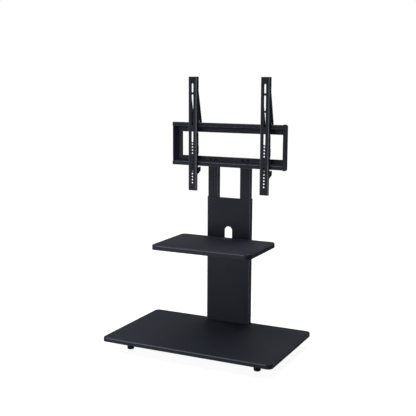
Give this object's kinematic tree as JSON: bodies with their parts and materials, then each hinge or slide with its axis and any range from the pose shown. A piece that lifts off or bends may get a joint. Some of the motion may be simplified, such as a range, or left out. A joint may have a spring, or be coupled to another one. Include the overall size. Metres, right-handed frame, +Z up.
{
  "type": "tv stand with mount",
  "caption": "Free-standing steel screen stand: flat base on levelling feet, rear column with a shelf, twin uprights and a rail frame with two sliding bracket arms.",
  "frame": {"origin": "on the floor, under the middle of the base plate", "axes": "+Z up, +X to the stand's right as seen from the front, +Y to the rear; the screen faces -Y"},
  "size_m": [0.656, 0.404, 0.9845],
  "materials": {
    "powder_coat": "matt fine-texture powder coat, blue-black",
    "zinc_plate": "zinc-plated hardware",
    "black_screw": "black oxide, satin",
    "black_plastic": "moulded plug",
    "rubber_pad": "moulded rubber"
  },
  "bodies": {
    "stand": {"base_plate": "powder_coat", "base_stiffener_front": "powder_coat", "base_stiffener_rear": "powder_coat", "foot_nuts": "zinc_plate", "column_cover": "powder_coat", "column_foot_plate": "powder_coat", "column_anchor_bolts": "zinc_plate", "clamp_nuts": "zinc_plate", "clamp_screws": "black_screw", "shelf_plate": "powder_coat", "shelf_bracket_left": "powder_coat", "shelf_bracket_right": "powder_coat", "shelf_bracket_bolts": "zinc_plate", "shelf_bracket_nuts": "zinc_plate", "shelf_studs": "zinc_plate", "shelf_stud_nuts": "zinc_plate"},
    "lift": {"upright_left": "powder_coat", "upright_right": "powder_coat", "upright_plugs": "black_plastic", "rail_top": "powder_coat", "rail_bottom": "powder_coat", "frame_post_left": "powder_coat", "frame_post_right": "powder_coat", "frame_end_cap": "powder_coat", "mount_bolts": "black_screw", "mount_nuts": "zinc_plate"},
    "left_arm": {"arm_left": "powder_coat", "lock_nut_left": "zinc_plate"},
    "right_arm": {"arm_right": "powder_coat", "lock_nut_right": "zinc_plate"},
    "left_lock_screw": {"lock_screw_left": "black_screw"},
    "right_lock_screw": {"lock_screw_right": "black_screw"},
    "foot_front_left": {"foot_pad_front_left": "rubber_pad", "foot_stem_front_left": "zinc_plate"},
    "foot_front_right": {"foot_pad_front_right": "rubber_pad", "foot_stem_front_right": "zinc_plate"},
    "foot_rear_left": {"foot_pad_rear_left": "rubber_pad", "foot_stem_rear_left": "zinc_plate"},
    "foot_rear_right": {"foot_pad_rear_right": "rubber_pad", "foot_stem_rear_right": "zinc_plate"}
  },
  "joints": [
    {"name": "height_slide", "type": "slide", "parent": "stand", "child": "lift", "axis": [0, 0, 1], "range_m": [-0.05, 0.15]},
    {"name": "left_arm_slide", "type": "slide", "parent": "lift", "child": "left_arm", "axis": [1, 0, 0], "range_m": [-0.065, 0.085]},
    {"name": "right_arm_slide", "type": "slide", "parent": "lift", "child": "right_arm", "axis": [1, 0, 0], "range_m": [-0.105, 0.045]},
    {"name": "left_lock_turn", "type": "hinge", "parent": "left_arm", "child": "left_lock_screw", "pos_m": [-0.135, 0.1675, 0.636], "axis": [0, 0, 1], "continuous": true},
    {"name": "right_lock_turn", "type": "hinge", "parent": "right_arm", "child": "right_lock_screw", "pos_m": [0.155, 0.1675, 0.636], "axis": [0, 0, 1], "continuous": true},
    {"name": "foot_front_left_turn", "type": "hinge", "parent": "stand", "child": "foot_front_left", "pos_m": [-0.25, -0.13, 0.03], "axis": [0, 0, 1], "continuous": true},
    {"name": "foot_front_right_turn", "type": "hinge", "parent": "stand", "child": "foot_front_right", "pos_m": [0.25, -0.13, 0.03], "axis": [0, 0, 1], "continuous": true},
    {"name": "foot_rear_left_turn", "type": "hinge", "parent": "stand", "child": "foot_rear_left", "pos_m": [-0.25, 0.13, 0.03], "axis": [0, 0, 1], "continuous": true},
    {"name": "foot_rear_right_turn", "type": "hinge", "parent": "stand", "child": "foot_rear_right", "pos_m": [0.25, 0.13, 0.03], "axis": [0, 0, 1], "continuous": true}
  ]
}
